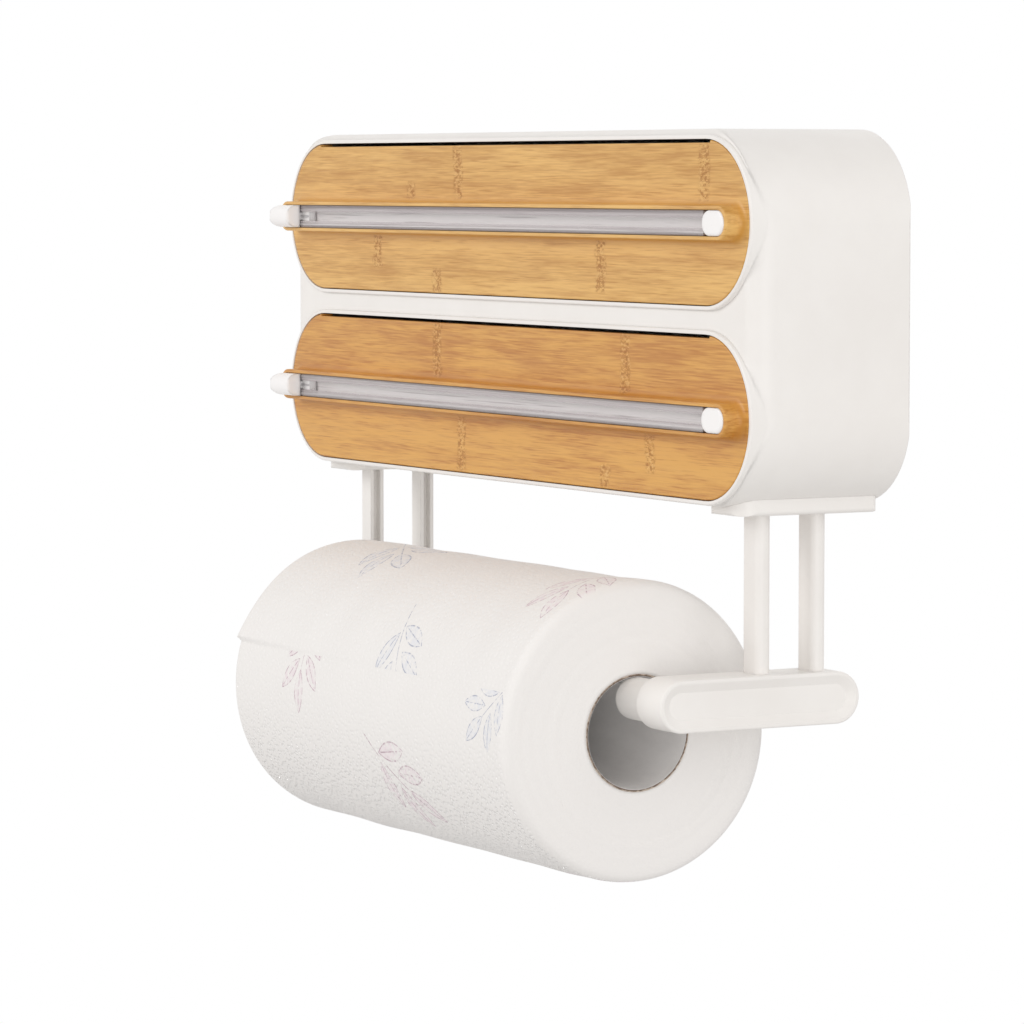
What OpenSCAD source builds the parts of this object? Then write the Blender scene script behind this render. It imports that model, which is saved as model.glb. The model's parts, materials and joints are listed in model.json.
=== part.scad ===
// Wall-mounted wrap and foil dispenser: a moulded cabinet with two bamboo-fronted drawers,
// a slide cutter on each front, and two arms below that carry a paper towel roll.
// Millimetres. +X right, -Y towards the room, +Z up. The wall is the plane y = 0.
// The origin is the centre of the wall screw pattern.

/* [Wrap rolls] */
// Radius of the full film roll, the largest that a drawer takes
film_r = 21; // [16:0.5:26]
// Radius of the foil roll
foil_r = 19; // [17.5:0.5:21]
// Length of a wrap roll
wrap_len = 300; // [280:1:460]
// Outer radius of a wrap roll's cardboard core
wrap_core_r = 16.5; // [13:0.5:18]
// Wall of a wrap roll's cardboard core
wrap_core_wall = 1; // [0.6:0.1:2]

/* [Room round a wrap roll] */
// Gap between the roll and the tray floor
roll_floor_gap = 0.9; // [0.5:0.1:3]
// Gap between the roll and the tray's front and back walls
roll_side_gap = 2; // [1:0.5:5]
// Free height above the roll for the film to run forward
roll_head_room = 8.1; // [4:0.1:14]
// Length from each end of the roll to the end of the front panel
roll_end_room = 20; // [17:0.5:30]

/* [Hubs] */
// Radius of a hub's journal
journal_r = 4; // [3:0.1:6]
// Radial clearance of a journal in its notch
journal_gap = 0.08; // [0.02:0.01:0.1]
// Thickness of a hub's flange
hub_flange_t = 2; // [1:0.1:3]
// Depth of a hub's plug inside the core
hub_plug = 12; // [6:1:20]
// Gap between a hub's flange and its cradle wall
hub_end_gap = 2; // [1:0.1:4]
// Length of journal beyond the cradle wall
journal_over = 2.5; // [1:0.1:4]

/* [Trays] */
// Wall of a tray
tray_wall = 2; // [1.5:0.1:3]
// Gap between a tray and its bay
tray_gap = 0.8; // [0.5:0.1:1.5]
// Height of the space under a tray, for screw heads
tray_lift = 3; // [2.8:0.1:5]
// Height of the tray walls above the bay's centre
tray_rise = 6; // [2:0.5:10]
// Space behind a tray, for wall screw heads
tray_back_room = 4.5; // [3.5:0.1:8]
// Width of a runner under a tray
runner_w = 8; // [4:1:14]
// Distance of a runner from the middle
runner_x = 100; // [60:1:120]
// Gap between a runner and the bay floor
runner_gap = 0.2; // [0.1:0.05:0.3]
// Distance of a stop bump from the middle
stop_x = 78; // [40:1:82]
// Width of a stop bump and of the lug that meets it
stop_w = 10; // [5:1:16]
// Height of a stop bump above the bay floor
stop_h = 1.8; // [1.5:0.1:2]
// Thickness of a stop bump and of its lug
stop_t = 2.5; // [1.5:0.1:4]
// How far a drawer slides out to its stop
drawer_travel = 40; // [30:1:42]

/* [Front panels] */
// Thickness of a front panel
panel_t = 5; // [4:0.5:8]
// Gap between a front panel and the rim of its bay
bay_gap = 0.3; // [0.3:0.1:1]
// Height of the wrap slot along a panel's top edge
slot_h = 1; // [0.8:0.1:3]
// Distance from each end of a panel to the end of its wrap slot
slot_inset = 25; // [22:1:60]
// Projection of the cutter rib in front of the panel
rib_out = 7; // [5:0.5:12]
// Wall of the cutter rib
rib_wall = 1.25; // [1:0.05:2.5]
// Inset of the rib's ends from the panel's ends
rib_inset = 3.2; // [3.2:0.1:12]
// Radius of the hollow fillet at the rib's root
rib_fillet = 2.4; // [0.5:0.1:2.5]
// Radius of the rib's rounded front edge
rib_edge = 0.6; // [0.2:0.1:1]
// Depth of the groove in the rib
groove_depth = 6; // [4:0.1:8]
// Radius of a panel's rounded front edge
panel_edge = 0.6; // [0.2:0.1:1.5]

/* [Slide cutters] */
// Height of a cutter track
track_h = 8.5; // [7:0.1:12]
// Wall of a cutter track
track_wall = 1; // [0.7:0.1:1.5]
// Depth of a cutter track
track_depth = 5.5; // [5:0.1:7]
// Height of the slit along a cutter track
slit_h = 3.6; // [1.6:0.1:4]
// Gap between a cutter track and the groove that holds it
track_gap = 0.2; // [0.1:0.05:0.5]
// Length of the end cap
cap_len = 13.6; // [11:0.1:20]
// How far the end cap stands in front of the rib
cap_out = 0.5; // [0.2:0.1:3]
// Radius of the end cap's rounded edge
cap_edge = 0.7; // [0.2:0.1:0.9]
// Length of a slider's knob
knob_len = 15.6; // [13:0.1:30]
// Height of a slider's knob
knob_h = 8.5; // [7:0.1:8.6]
// How far a slider's knob stands in front of the rib
knob_out = 5.6; // [4.4:0.1:10]
// Radius of a knob's long rounded edges
knob_edge = 4; // [1:0.1:4.2]
// Radius of the rounded edges at a knob's ends
knob_end_edge = 1.2; // [0.4:0.1:3]
// Clearance of a slider round the rib, the track and its slit
slider_gap = 0.3; // [0.2:0.05:0.4]
// Length of the slider's shoe beyond its knob, inside the track
shoe_over = 5; // [2:0.5:16]
// Length of the slider's neck in the slit
neck_len = 9; // [6:0.5:11]
// Distance of the neck's end from the knob's end
neck_inset = 1; // [0.5:0.1:3]
// Depth of the blade's seat in the shoe
blade_seat = 1; // [0.5:0.1:1.5]
// Slant of the blade's cutting edge
blade_slant = 2; // [0:0.1:3]
// Thickness of the blade
blade_t = 0.5; // [0.3:0.1:0.8]
// Length of blade that stands out of the neck
blade_out = 6; // [3:0.5:8]

/* [Cabinet] */
// Height of the band between the two bays
waist = 9.4; // [7:0.2:14]
// Thickness above the upper bay
top_wall = 3.4; // [3:0.1:6]
// Thickness below the lower bay
floor_wall = 2.1; // [2.1:0.1:4]
// Thickness at each end of the bays
side_wall = 2.1; // [2.1:0.1:5]
// Corner radius at the top of the cabinet's outline
top_corner_r = 31.8; // [29:0.1:31.8]
// Corner radius at the bottom of the cabinet's outline
low_corner_r = 30.2; // [29:0.1:30.2]
// Wall of the rim lip round a bay
rim_wall = 1.4; // [1:0.1:2]
// How far the rims stand in front of the band
rim_out = 1.6; // [0.5:0.1:3]
// Radius of a rim's rounded outer edge
rim_edge = 0.6; // [0.2:0.1:0.9]
// Radius of the rounded front edge at the sides
side_round = 8; // [4:0.5:14]
// Radius of the rounded front edge at top and bottom
top_round = 3.5; // [1:0.1:5]
// Radius of the eased back edge
back_round = 0.9; // [0.2:0.1:0.9]
// Wall round the back panel's rebate
rebate_wall = 1.3; // [1:0.1:1.5]
// Wall of the front and sides where the waist is hollow
skin = 2; // [1.5:0.1:3]

/* [Back panel] */
// Thickness of the back panel
back_t = 3; // [2.5:0.1:4]
// Gap round the back panel
back_gap = 0.2; // [0.1:0.05:0.4]
// Radius of a wall screw hole
wall_hole_r = 2.6; // [2:0.1:3.5]
// Distance between wall screw holes along X
wall_hole_span = 220; // [160:1:240]
// Width of a pad that stops a drawer
pad_w = 10; // [6:1:16]
// Distance of a drawer pad from the middle
pad_x = 135; // [125:1:140]
// Gap between a pad and the closed tray
pad_gap = 0.2; // [0.1:0.05:0.3]

/* [Screws] */
// Radius of a thread
thread_r = 1.5; // [1.2:0.1:1.8]
// Gap between a thread and its pilot hole
thread_gap = 0.03; // [0.01:0.01:0.05]
// Clearance of a hole that a screw passes through
pass_gap = 0.3; // [0.2:0.05:0.6]
// Radius of a screw head
head_r = 2.9; // [2.6:0.1:3.2]
// Height of a screw head
head_h = 1.8; // [1.4:0.1:2.2]
// Distance of the inner panel screws from the middle
panel_screw_x1 = 45; // [20:1:60]
// Distance of the outer panel screws from the middle
panel_screw_x2 = 125; // [90:1:135]
// Gap beyond the tip of a panel screw
tip_gap = 1; // [0.3:0.1:1.5]
// Thickness of panel left in front of its screws
screw_skin = 1.5; // [1:0.1:2]
// Height of the panel screws below the bay's centre
panel_screw_drop = 13; // [10:0.5:15]
// Distance of the inner back panel screws from the middle
back_screw_x1 = 60; // [40:1:120]
// Distance of the outer back panel screws from the cabinet's side
back_screw_inset = 11; // [9:0.5:14]
// Length of a back panel screw below its head
back_screw_len = 10; // [6:0.5:16]

/* [Towel arms] */
// Distance of an arm's posts from the side of the cabinet
arm_inset = 29.4; // [26:0.2:60]
// Width of an arm's top plate
plate_w = 24; // [20:0.5:26]
// Length of an arm's top plate
plate_len = 54.8; // [45:0.1:56]
// Thickness of an arm's top plate
plate_t = 2.8; // [2.6:0.1:8]
// Distance from the wall to an arm's top plate
plate_back = 1.5; // [0.5:0.1:4]
// Corner radius at the front of a plate
plate_round = 7.5; // [3:0.5:11.5]
// Corner radius at the rear of a plate
plate_rear_round = 2; // [0.5:0.1:6]
// Radius of the rounded lower edge of a plate
plate_edge = 1.6; // [0.3:0.1:2]
// Width of a post along X
post_w = 9.4; // [6:0.1:14]
// Depth of a post along Y
post_d = 5.6; // [4.4:0.1:9]
// Wall of a post's channel
post_wall = 1.4; // [1.2:0.1:1.8]
// Depth of the channel in a post's inner side
post_dip = 3.2; // [1:0.1:3.8]
// Distance from the wall to the rear post
post_rear = 19.7; // [16:0.1:26]
// Distance between the two posts
post_pitch = 22; // [18:0.1:26]
// Length of the posts between plate and bar
post_len = 54.2; // [40:0.1:90]
// Height of a bar
bar_h = 18; // [14:0.1:24]
// Length of a bar
bar_len = 78.9; // [70:0.1:100]
// Distance from the wall to a bar's rear end
bar_back = 5.5; // [2:0.1:8]
// Thickness of a bar
bar_t = 16; // [12:0.1:20]
// How far a bar stands outside the posts
bar_over = 2.8; // [1:0.1:4]
// Depth of the dish in a bar's outer face
dish_depth = 1.8; // [0.5:0.1:4]
// Width of the rim round the dish
dish_rim = 1.4; // [1.1:0.1:4]
// Width of the dish's sloped wall
dish_slope = 3; // [0.5:0.1:4]
// Radius of a bar's rounded edges
bar_edge = 0.8; // [0.3:0.1:1]
// Radius of a towel peg
peg_r = 7.3; // [6:0.1:9]
// Length of the short peg, at the right
peg_len = 19; // [16:0.5:30]
// Radius of the rounded end of a peg
peg_round = 3; // [1:0.1:5]
// Distance of an arm screw from the posts, towards the middle
arm_screw_in = 6; // [4:0.1:8]
// Distance between an arm's two screws
arm_screw_pitch = 34; // [24:1:38]
// Depth of an arm screw in the plate
arm_screw_deep = 2.1; // [1.6:0.1:2.3]

/* [Towel roll] */
// Outer radius of the towel roll
towel_r = 52.4; // [40:0.1:70]
// Length of the towel roll
towel_len = 212; // [200:1:240]
// Inner radius of the towel roll's core
towel_core_r = 19.4; // [17:0.1:24]
// Wall of the towel roll's core
towel_core_wall = 0.8; // [0.5:0.1:2]
// How far the short peg reaches into the core
short_grip = 4.5; // [3:0.5:10]
// How far the long peg reaches into the core
long_grip = 10; // [6:0.5:20]
// Gap between the top of a peg and the core that hangs on it
hang_gap = 0.3; // [0.1:0.05:0.5]

/* [Hidden] */
$fn = 64;
over = 1;
root = 0.4;

bay_h = tray_lift + tray_wall + roll_floor_gap + 2 * film_r + roll_head_room;
bay_r = bay_h / 2;
panel_len = wrap_len + 2 * roll_end_room;
panel_h = bay_h - 2 * bay_gap;
bay_len = panel_len + 2 * bay_gap;
flat_half = (bay_len - bay_h) / 2;
bay_z = (bay_h + waist) / 2;
drawer_inner = 2 * film_r + 2 * roll_side_gap;
cabinet_depth = panel_t + 2 * tray_wall + drawer_inner + tray_back_room + back_t;
cabinet_half = bay_len / 2 + side_wall;
cabinet_top = bay_z + bay_r + top_wall;
cabinet_bottom = -bay_z - bay_r - floor_wall;
front_y = -cabinet_depth;
band_y = front_y + rim_out;

panel_back_y = front_y + panel_t;
tray_back_y = panel_back_y + 2 * tray_wall + drawer_inner;
tray_r = bay_r - tray_gap;
tray_len = bay_len - 2 * tray_gap;
tray_bottom = -bay_r + tray_lift;
roll_y = (panel_back_y + tray_back_y) / 2;
film_z = tray_bottom + tray_wall + roll_floor_gap + film_r;
foil_z = tray_bottom + tray_wall + roll_floor_gap + foil_r;
cradle_x = wrap_len / 2 + hub_flange_t + hub_end_gap;
journal_x = cradle_x + tray_wall + journal_over;
bump_y = panel_back_y + tray_wall;
lug_y = bump_y + stop_t + drawer_travel + runner_gap;

groove_h = track_h + 2 * track_gap;
rib_h = groove_h + 2 * rib_wall;
rib_len = panel_len - 2 * rib_inset;
groove_len = rib_len - 2 * rib_wall;
rib_front_y = front_y - rib_out;
groove_floor_y = rib_front_y + groove_depth;
track_front_y = groove_floor_y - track_depth;
cap_right = groove_len / 2 - track_gap;
cap_left = cap_right - cap_len;
track_left = -groove_len / 2 + groove_h / 2;
track_right = cap_left - track_gap;
knob_left = -groove_len / 2 + slider_gap;
knob_right = knob_left + knob_len;
knob_back_y = track_front_y - slider_gap;
knob_front_y = rib_front_y - knob_out;
neck_right = knob_right - neck_inset;
neck_left = neck_right - neck_len;
shoe_left = track_left + slider_gap;
shoe_right = knob_right + shoe_over;
cavity_front_y = track_front_y + track_wall;
cavity_back_y = groove_floor_y - track_wall;
cavity_half = track_h / 2 - track_wall;

pilot_r = thread_r + thread_gap;
pass_r = thread_r + pass_gap;
panel_screw_xs = [-panel_screw_x2, -panel_screw_x1, panel_screw_x1, panel_screw_x2];
panel_screw_deep = panel_t - screw_skin;
back_screw_x2 = cabinet_half - back_screw_inset;
back_screw_xs = [-back_screw_x2, -back_screw_x1, back_screw_x1, back_screw_x2];
boss_r = (waist - 2 * rim_wall) / 2;

arm_x = cabinet_half - arm_inset;
plate_bottom = cabinet_bottom - plate_t;
plate_in = arm_x - plate_w / 2;
bar_top = plate_bottom - post_len;
bar_z = bar_top - bar_h / 2;
bar_out_x = arm_x + post_w / 2 + bar_over;
bar_in_x = bar_out_x - bar_t;
peg_y = -bar_back - bar_len + bar_h / 2;
dish_len = bar_len - 2 * dish_rim;
dish_h = bar_h - 2 * dish_rim;
peg_tip_x = bar_in_x - peg_len;
post_ys = [-post_rear - post_pitch, -post_rear];
arm_screw_x = arm_x - arm_screw_in;
plate_mid_y = -plate_back - plate_len / 2;
arm_screw_ys = [plate_mid_y - arm_screw_pitch / 2, plate_mid_y + arm_screw_pitch / 2];

towel_right = peg_tip_x + short_grip;
towel_left = towel_right - towel_len;
long_peg_tip_x = towel_left + long_grip;
towel_z = bar_z + peg_r + hang_gap - towel_core_r;

white = [0.93, 0.92, 0.9];
bamboo = [0.82, 0.62, 0.36];
clear = [0.8, 0.8, 0.85, 0.5];
steel = [0.7, 0.71, 0.73];
board = [0.62, 0.5, 0.38];
paper = [0.96, 0.95, 0.94];
film = [0.86, 0.9, 0.94];
foil = [0.78, 0.79, 0.8];

// A front-view shape extruded between two depths.
module slab(y0, y1) {
    translate([0, y1, 0]) rotate([90, 0, 0]) linear_extrude(y1 - y0) children();
}

// A side-view shape, drawn in Y and Z, extruded between two places along X.
module along_x(x0, x1) {
    translate([x0, 0, 0]) rotate([90, 0, 90]) linear_extrude(x1 - x0) children();
}

// A round bar along X.
module rod_x(r, x0, x1) {
    translate([x0, 0, 0]) rotate([0, 90, 0]) cylinder(r = r, h = x1 - x0);
}

// A round tube along X.
module tube_x(r_out, r_in, x0, x1) {
    difference() {
        rod_x(r_out, x0, x1);
        rod_x(r_in, x0 - over, x1 + over);
    }
}

// A bar shape with half-round ends.
module stadium(len, h) {
    square([len - h, h], center = true);
    for (s = [-1, 1]) translate([s * (len - h) / 2, 0]) circle(d = h);
}

// A rectangle with rounded corners, from its low corner to its high corner.
module rounded_rect(x0, y0, x1, y1, r) {
    translate([x0 + r, y0]) square([x1 - x0 - 2 * r, y1 - y0]);
    translate([x0, y0 + r]) square([x1 - x0, y1 - y0 - 2 * r]);
    for (x = [x0 + r, x1 - r], y = [y0 + r, y1 - r]) translate([x, y]) circle(r = r);
}

// A profile, drawn as outward and forward distance, swept round a front-view stadium.
module stadium_sweep(len, h) {
    rotate([90, 0, 0]) {
        for (s = [0, 1]) mirror([s, 0, 0]) translate([(len - h) / 2, 0, 0])
            rotate([0, 0, -90]) rotate_extrude(angle = 180) translate([h / 2, 0]) children();
        for (s = [0, 1]) mirror([0, s, 0]) translate([-(len - h) / 2, h / 2, 0])
            rotate([90, 0, 90]) linear_extrude(len - h) children();
    }
}

// A screw along +Y with its head's underside at y = 0 and its thread on the -Y side.
module screw(len) {
    rotate([90, 0, 0]) cylinder(r = thread_r, h = len, $fn = 32);
    rotate([-90, 0, 0]) cylinder(r = head_r, h = head_h, $fn = 32);
}

// Outline of the cabinet seen from the front, drawn in by a margin.
module cabinet_outline(margin) {
    intersection() {
        rounded_rect(-cabinet_half + margin, cabinet_bottom + margin,
            cabinet_half - margin, 2 * cabinet_top, low_corner_r - margin);
        rounded_rect(-cabinet_half + margin, 2 * cabinet_bottom,
            cabinet_half - margin, cabinet_top - margin, top_corner_r - margin);
    }
}

// The cabinet's block with its rounded front edges and eased back edges.
module cabinet_block() {
    intersection() {
        slab(band_y, 0) cabinet_outline(0);
        translate([0, 0, cabinet_bottom - over])
            linear_extrude(cabinet_top - cabinet_bottom + 2 * over)
                rounded_rect(-cabinet_half, band_y, cabinet_half, 2 * side_round, side_round);
        along_x(-cabinet_half - over, cabinet_half + over)
            rounded_rect(band_y, cabinet_bottom, 2 * top_round, cabinet_top, top_round);
        translate([0, 0, cabinet_bottom - over])
            linear_extrude(cabinet_top - cabinet_bottom + 2 * over)
                rounded_rect(-cabinet_half, 2 * front_y, cabinet_half, 0, back_round);
        along_x(-cabinet_half - over, cabinet_half + over)
            rounded_rect(2 * front_y, cabinet_bottom, 0, cabinet_top, back_round);
    }
}

// Outer outline of the rim round a bay.
module rim_outline() {
    stadium(bay_len + 2 * rim_wall, bay_h + 2 * rim_wall);
}

// What a rounded edge of radius r takes off the corner of a profile.
module edge_cut(r) {
    difference() {
        translate([-r, -r]) square(r + over);
        translate([-r, -r]) circle(r = r);
    }
}

// What a hollow fillet of radius r adds in the corner of a profile, rooted in both its sides.
module cove(r) {
    difference() {
        translate([-root, -root]) square(r + root);
        translate([r, r]) circle(r = r);
    }
}

// The hollow between the two bays, open at the back.
module waist_hollow() {
    intersection() {
        slab(band_y + skin, -back_t + over) difference() {
            square([2 * cabinet_half, 2 * bay_z - bay_r], center = true);
            for (z = [-bay_z, bay_z]) translate([0, z]) rim_outline();
        }
        translate([0, 0, -bay_z]) linear_extrude(2 * bay_z)
            rounded_rect(-cabinet_half + skin, band_y + skin, cabinet_half - skin, 2 * side_round,
                side_round - skin);
    }
}

module shell() {
    color(white) difference() {
        union() {
            difference() {
                union() {
                    cabinet_block();
                    for (z = [-bay_z, bay_z]) translate([0, 0, z]) difference() {
                        slab(front_y, band_y + side_round) rim_outline();
                        translate([0, front_y, 0])
                            stadium_sweep(bay_len + 2 * rim_wall, bay_h + 2 * rim_wall) edge_cut(rim_edge);
                    }
                }
                for (z = [-bay_z, bay_z]) translate([0, 0, z])
                    slab(front_y - over, over) stadium(bay_len, bay_h);
                waist_hollow();
            }
            for (x = back_screw_xs) translate([x, 0, 0])
                slab(band_y, -back_t) circle(r = boss_r + thread_gap);
            for (z = [-bay_z, bay_z], x = [-stop_x, stop_x])
                translate([x - stop_w / 2, bump_y, z - bay_r - over]) cube([stop_w, stop_t, stop_h + over]);
        }
        slab(-back_t, over) cabinet_outline(rebate_wall);
        for (x = back_screw_xs) translate([x, 0, 0])
            slab(-back_t - back_screw_len, over) circle(r = pilot_r, $fn = 32);
        for (s = [-1, 1], y = arm_screw_ys)
            translate([s * arm_screw_x, y, cabinet_bottom - over])
                cylinder(r = pass_r, h = floor_wall + 2 * over, $fn = 32);
    }
}

module back_panel() {
    color(white) difference() {
        union() {
            slab(-back_t, 0) cabinet_outline(rebate_wall + back_gap);
            for (z = [-bay_z, bay_z], x = [-pad_x, pad_x]) translate([x, 0, z])
                slab(tray_back_y + pad_gap, -back_t) square(pad_w, center = true);
        }
        for (z = [-bay_z, bay_z], s = [-1, 1]) translate([s * wall_hole_span / 2, 0, z])
            slab(-back_t - over, over) circle(r = wall_hole_r);
        for (x = back_screw_xs) translate([x, 0, 0]) {
            slab(-back_t - over, over) circle(r = pass_r, $fn = 32);
            slab(-head_h, over) circle(r = head_r + pass_gap, $fn = 32);
        }
    }
}

module back_panel_screws() {
    color(steel) for (x = back_screw_xs) translate([x, -head_h, 0])
        screw(back_screw_len);
}

// A bamboo front with its cutter rib, its wrap slot and the pilot holes behind.
module front_panel() {
    color(bamboo) difference() {
        union() {
            slab(front_y, panel_back_y) stadium(panel_len, panel_h);
            slab(rib_front_y, front_y) stadium(rib_len, rib_h);
            translate([0, front_y, 0]) stadium_sweep(rib_len, rib_h) cove(rib_fillet);
        }
        translate([0, front_y, 0]) stadium_sweep(panel_len, panel_h) edge_cut(panel_edge);
        translate([0, rib_front_y, 0]) stadium_sweep(rib_len, rib_h) edge_cut(rib_edge);
        slab(rib_front_y - over, groove_floor_y) stadium(groove_len, groove_h);
        slab(front_y - over, panel_back_y + over)
            translate([0, panel_h / 2]) square([panel_len - 2 * slot_inset, 2 * slot_h], center = true);
        for (x = panel_screw_xs) translate([x, 0, -panel_screw_drop])
            slab(panel_back_y - panel_screw_deep, panel_back_y + over) circle(r = pilot_r, $fn = 32);
    }
}

// Screws that hold a tray to its front panel.
module panel_screws() {
    color(steel) for (x = panel_screw_xs)
        translate([x, panel_back_y + tray_wall, -panel_screw_drop])
            screw(tray_wall + panel_screw_deep - tip_gap);
}

// Outline of a tray, drawn in by a margin and cut level below and at top.
module tray_outline(margin, top) {
    intersection() {
        stadium(tray_len - 2 * margin, 2 * (tray_r - margin));
        translate([-tray_len / 2, tray_bottom + margin]) square([tray_len, top - tray_bottom - margin]);
    }
}

// A drawer's tray: walls, cradle walls with journal notches, runners and stop lugs.
module tray(axis_z) {
    color(white) difference() {
        union() {
            difference() {
                slab(panel_back_y, tray_back_y) tray_outline(0, tray_rise);
                slab(panel_back_y + tray_wall, tray_back_y - tray_wall)
                    tray_outline(tray_wall, tray_rise + over);
            }
            intersection() {
                slab(panel_back_y, tray_back_y) tray_outline(0, tray_rise);
                for (s = [0, 1]) mirror([s, 0, 0])
                    translate([cradle_x, panel_back_y, tray_bottom])
                        cube([tray_wall, tray_back_y - panel_back_y, tray_rise - tray_bottom]);
            }
            for (s = [-1, 1]) {
                translate([s * runner_x - runner_w / 2, panel_back_y, -bay_r + runner_gap])
                    cube([runner_w, tray_back_y - panel_back_y, tray_lift]);
                translate([s * stop_x - stop_w / 2, lug_y, -bay_r + runner_gap + stop_h / 2])
                    cube([stop_w, stop_t, tray_lift - stop_h / 2]);
            }
        }
        for (s = [0, 1]) mirror([s, 0, 0]) along_x(cradle_x - over / 2, cradle_x + tray_wall + over / 2)
            translate([roll_y, axis_z]) {
                circle(r = journal_r + journal_gap);
                translate([-journal_r - journal_gap, 0])
                    square([2 * (journal_r + journal_gap), tray_rise - axis_z + over]);
            }
        for (x = panel_screw_xs) translate([x, 0, -panel_screw_drop])
            slab(panel_back_y - over, panel_back_y + tray_wall + over) circle(r = pass_r, $fn = 32);
    }
}

// The clear channel that guides a slider.
module track() {
    color(clear) along_x(track_left, track_right) difference() {
        translate([track_front_y, -track_h / 2]) square([track_depth, track_h]);
        translate([cavity_front_y, -cavity_half]) square([cavity_back_y - cavity_front_y, 2 * cavity_half]);
        translate([track_front_y - over, -slit_h / 2]) square([track_wall + 2 * over, slit_h]);
    }
}

// A plug that closes the groove at the track's right end, with a rounded edge.
module end_cap() {
    color(white) translate([(cap_left + cap_right) / 2, 0, 0]) difference() {
        slab(rib_front_y - cap_out, groove_floor_y) stadium(cap_len, track_h);
        translate([0, rib_front_y - cap_out, 0]) stadium_sweep(cap_len, track_h) edge_cut(cap_edge);
    }
}

// A knob with a round nose, its neck in the slit and its shoe inside the track.
module slider() {
    color(white) difference() {
        union() {
            intersection() {
                slab(knob_front_y, knob_back_y) union() {
                    translate([knob_left + knob_h / 2, 0]) circle(d = knob_h);
                    translate([knob_left + knob_h / 2, -knob_h / 2]) square([knob_len - knob_h / 2, knob_h]);
                }
                translate([0, 0, -knob_h]) linear_extrude(2 * knob_h)
                    rounded_rect(knob_left, knob_front_y, knob_right, knob_back_y + 2 * knob_end_edge,
                        knob_end_edge);
                along_x(knob_left - over, knob_right + over)
                    rounded_rect(knob_front_y, -knob_h / 2, knob_back_y + 2 * knob_edge, knob_h / 2,
                        knob_edge);
            }
            along_x(neck_left, neck_right)
                translate([knob_back_y - over, -slit_h / 2 + slider_gap])
                    square([cavity_front_y - knob_back_y + 2 * over, slit_h - 2 * slider_gap]);
            along_x(shoe_left, shoe_right)
                translate([cavity_front_y + slider_gap, -cavity_half + slider_gap])
                    square([cavity_back_y - cavity_front_y - 2 * slider_gap, 2 * (cavity_half - slider_gap)]);
        }
        blade_body(thread_gap);
    }
}

// A thin blade seated in the neck, with a slanted cutting edge.
module blade_body(grow) {
    translate([0, 0, -blade_t / 2 - grow]) linear_extrude(blade_t + 2 * grow) polygon([
        [neck_left + neck_inset - grow, track_front_y - grow],
        [neck_right + blade_out + grow, cavity_front_y - grow],
        [neck_right + blade_out - blade_slant + grow, cavity_front_y + slider_gap + blade_seat + grow],
        [neck_left + neck_inset - grow, cavity_front_y + slider_gap + blade_seat + grow]
    ]);
}

module blade() {
    color(steel) blade_body(0);
}

// A cardboard core inside a wrap roll.
module wrap_core() {
    color(board) tube_x(wrap_core_r, wrap_core_r - wrap_core_wall, -wrap_len / 2, wrap_len / 2);
}

// The wrap wound on its core.
module wrap(r, tint) {
    color(tint) tube_x(r, wrap_core_r + thread_gap, -wrap_len / 2, wrap_len / 2);
}

// The right hub: a plug in the core, a flange and a journal.
module hub() {
    color(white) {
        rod_x(wrap_core_r - wrap_core_wall - thread_gap, wrap_len / 2 - hub_plug, wrap_len / 2);
        rod_x(wrap_core_r, wrap_len / 2, wrap_len / 2 + hub_flange_t);
        rod_x(journal_r, wrap_len / 2 + hub_flange_t, journal_x);
    }
}

module place_film() {
    translate([0, roll_y, bay_z + film_z]) children();
}

module place_foil() {
    translate([0, roll_y, -bay_z + foil_z]) children();
}

module upper() {
    translate([0, 0, bay_z]) children();
}

module lower() {
    translate([0, 0, -bay_z]) children();
}

// A peg along X with a rounded end at tip_x.
module peg(tip_x) {
    translate([tip_x, peg_y, bar_z]) rotate([0, 90, 0]) rotate_extrude() {
        translate([0, peg_round]) square([peg_r, bar_in_x - tip_x - peg_round + over]);
        square([peg_r - peg_round, peg_round + over]);
        intersection() {
            translate([peg_r - peg_round, peg_round]) circle(r = peg_round);
            square([peg_r, peg_round + over]);
        }
    }
}

// Plan of an arm's top plate, with its front corners rounded.
module plate_plan() {
    intersection() {
        rounded_rect(plate_in, -plate_back - plate_len, plate_in + plate_w, plate_len, plate_round);
        rounded_rect(plate_in, -2 * plate_len, plate_in + plate_w, -plate_back, plate_rear_round);
    }
}

// An arm's top plate, rounded along its lower edges.
module plate() {
    intersection() {
        translate([0, 0, plate_bottom]) linear_extrude(plate_t + low_corner_r / 2) plate_plan();
        along_x(plate_in - over, plate_in + plate_w + over)
            rounded_rect(-plate_back - plate_len, plate_bottom, -plate_back,
                cabinet_bottom + low_corner_r, plate_edge);
        slab(-2 * plate_len, over)
            rounded_rect(plate_in, plate_bottom, plate_in + plate_w,
                cabinet_bottom + low_corner_r, plate_edge);
    }
}

// Plan of a post: round outside, with a channel that is open towards the roll.
module post() {
    difference() {
        union() {
            translate([(post_w - post_d) / 2, 0]) circle(d = post_d);
            translate([-post_w / 2, -post_d / 2]) square([post_w - post_d / 2, post_d]);
        }
        translate([-post_w / 2 - over, -post_d / 2 + post_wall])
            square([post_dip + over, post_d - 2 * post_wall]);
    }
}

// What a sloped wall of width w and height h adds in the corner of a profile, rooted in both its sides.
module slope(w, h) {
    polygon([[-root, -root], [w, -root], [w, 0], [0, h], [-root, h]]);
}

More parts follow.
